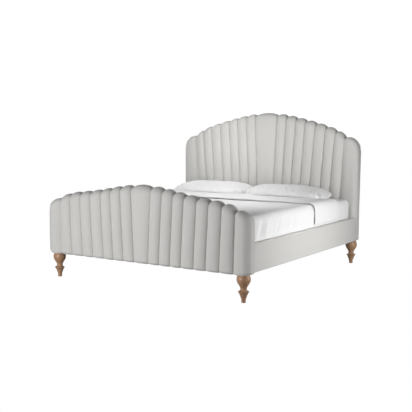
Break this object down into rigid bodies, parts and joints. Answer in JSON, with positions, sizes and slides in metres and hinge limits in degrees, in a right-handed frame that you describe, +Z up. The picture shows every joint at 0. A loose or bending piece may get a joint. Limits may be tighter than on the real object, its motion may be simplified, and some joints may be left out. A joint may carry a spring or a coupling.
{
  "type": "upholstered bed with channelled headboard and footboard",
  "caption": "Upholstered double bed with an arched channelled headboard, low channelled footboard, padded side rails, turned wooden feet, slatted base, mattress, duvet and pillows.",
  "frame": {"origin": "centre of the bed's footprint on the floor", "axes": "+Z up, +X across the bed to the left hand of a sleeper lying on their back, +Y along the bed towards the headboard"},
  "size_m": [2.1, 2.28, 1.498],
  "materials": {
    "upholstery": "light warm grey plain-weave upholstery fabric over foam",
    "turned_wood": "mid-brown turned hardwood, satin lacquer",
    "frame_timber": "bare sawn softwood and plywood",
    "steel": "zinc-plated steel",
    "plastic": "black moulded plastic",
    "mattress_ticking": "white quilted ticking",
    "sheet_cotton": "white cotton sheeting",
    "duvet_cotton": "white cotton duvet cover, softly creased",
    "pillow_cotton": "white cotton pillowcase, softly creased"
  },
  "bodies": {
    "frame": {"beam_brackets": "steel", "bracket_bolts": "steel", "centre_beam": "frame_timber", "centre_legs": "steel", "corner_brackets": "steel", "foot_bolts": "steel", "foot_plates": "steel", "footboard_arch_rail": "frame_timber", "footboard_back_cover": "upholstery", "footboard_bottom_rail": "frame_timber", "footboard_centre_channel": "upholstery", "footboard_left_channels": "upholstery", "footboard_left_end_channel": "upholstery", "footboard_left_post": "frame_timber", "footboard_panel": "frame_timber", "footboard_right_channels": "upholstery", "footboard_right_end_channel": "upholstery", "footboard_right_post": "frame_timber", "front_left_foot": "turned_wood", "front_right_foot": "turned_wood", "headboard_arch_rail": "frame_timber", "headboard_back_cover": "upholstery", "headboard_bottom_rail": "frame_timber", "headboard_centre_channel": "upholstery", "headboard_left_channels": "upholstery", "headboard_left_end_channel": "upholstery", "headboard_left_post": "frame_timber", "headboard_panel": "frame_timber", "headboard_right_channels": "upholstery", "headboard_right_end_channel": "upholstery", "headboard_right_post": "frame_timber", "left_rail_board": "frame_timber", "left_rail_cover": "upholstery", "left_slat_ledge": "frame_timber", "rear_left_foot": "turned_wood", "rear_right_foot": "turned_wood", "right_rail_board": "frame_timber", "right_rail_cover": "upholstery", "right_slat_ledge": "frame_timber", "slat_01": "frame_timber", "slat_02": "frame_timber", "slat_03": "frame_timber", "slat_04": "frame_timber", "slat_05": "frame_timber", "slat_06": "frame_timber", "slat_07": "frame_timber", "slat_08": "frame_timber", "slat_09": "frame_timber", "slat_10": "frame_timber", "slat_11": "frame_timber", "slat_12": "frame_timber", "slat_holders": "plastic"},
    "mattress": {"mattress": "mattress_ticking", "fitted_sheet": "sheet_cotton"},
    "duvet": {"duvet": "duvet_cotton"},
    "pillow_left": {"pillow_left": "pillow_cotton"},
    "pillow_right": {"pillow_right": "pillow_cotton"},
    "glide_foot": {"glide_foot": "plastic"},
    "glide_head": {"glide_head": "plastic"}
  },
  "joints": [
    {"name": "mattress_lift", "type": "slide", "parent": "frame", "child": "mattress", "axis": [0, 0, 1], "range_m": [0, 0.45]},
    {"name": "duvet_lift", "type": "slide", "parent": "mattress", "child": "duvet", "axis": [0, 0, 1], "range_m": [0, 0.45]},
    {"name": "pillow_left_lift", "type": "slide", "parent": "duvet", "child": "pillow_left", "axis": [0, 0, 1], "range_m": [0, 0.35]},
    {"name": "pillow_right_lift", "type": "slide", "parent": "duvet", "child": "pillow_right", "axis": [0, 0, 1], "range_m": [0, 0.35]},
    {"name": "glide_foot_screw", "type": "slide", "parent": "frame", "child": "glide_foot", "axis": [0, 0, 1], "range_m": [0, 0.012]},
    {"name": "glide_head_screw", "type": "slide", "parent": "frame", "child": "glide_head", "axis": [0, 0, 1], "range_m": [0, 0.012]}
  ]
}
